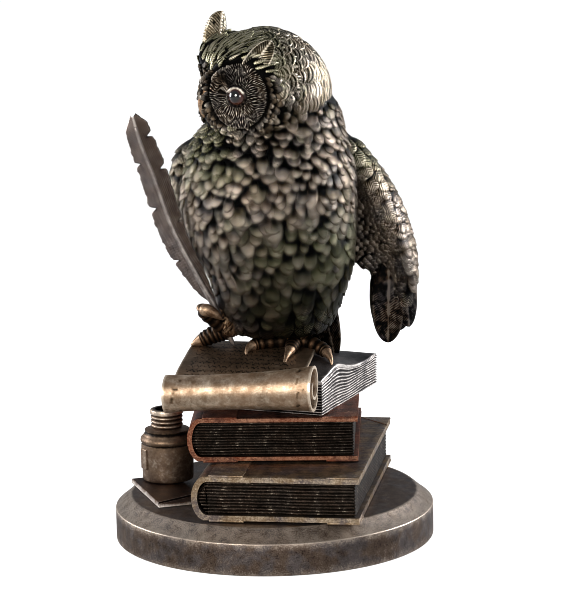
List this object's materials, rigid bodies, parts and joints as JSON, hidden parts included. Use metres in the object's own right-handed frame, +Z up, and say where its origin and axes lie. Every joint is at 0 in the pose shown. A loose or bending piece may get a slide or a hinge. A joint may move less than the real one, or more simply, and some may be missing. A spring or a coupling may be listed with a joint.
{
  "type": "owl statue",
  "caption": "Desk figurine of an eared owl gripping a quill, standing on a parchment, a manuscript and two books beside an inkwell, on a round plinth.",
  "frame": {"origin": "centre of the round plinth's underside", "axes": "+Z up; the owl's breast and the books' bottom edges face -Y, and the books' spines lie towards -X"},
  "size_m": [0.15, 0.15, 0.2467],
  "materials": {
    "plinth": "dark brown bronze paint, finely speckled, satin",
    "lower_book": "tan bronze boards, dark leaves, satin",
    "upper_book": "copper-red bronze boards, dark leaves, satin",
    "page_stack": "grey-black leaves with bright worn edges, satin",
    "parchment_scroll": "brassy tan bronze, brushed satin",
    "inkwell": "tan bronze, horizontally brushed satin",
    "envelope": "dark brown bronze with bright edges, satin",
    "quill": "mauve-brown bronze, satin",
    "owl": "dark bronze with green patina and gold dry-brushed highlights, satin",
    "eye": "dark red-brown gloss"
  },
  "bodies": {
    "root": {"plinth": "plinth", "lower_book": "lower_book", "upper_book": "upper_book", "page_stack": "page_stack", "parchment_scroll": "parchment_scroll", "inkwell": "inkwell", "envelope": "envelope", "quill": "quill", "owl": "owl", "left_eye": "eye", "right_eye": "eye"}
  },
  "joints": []
}
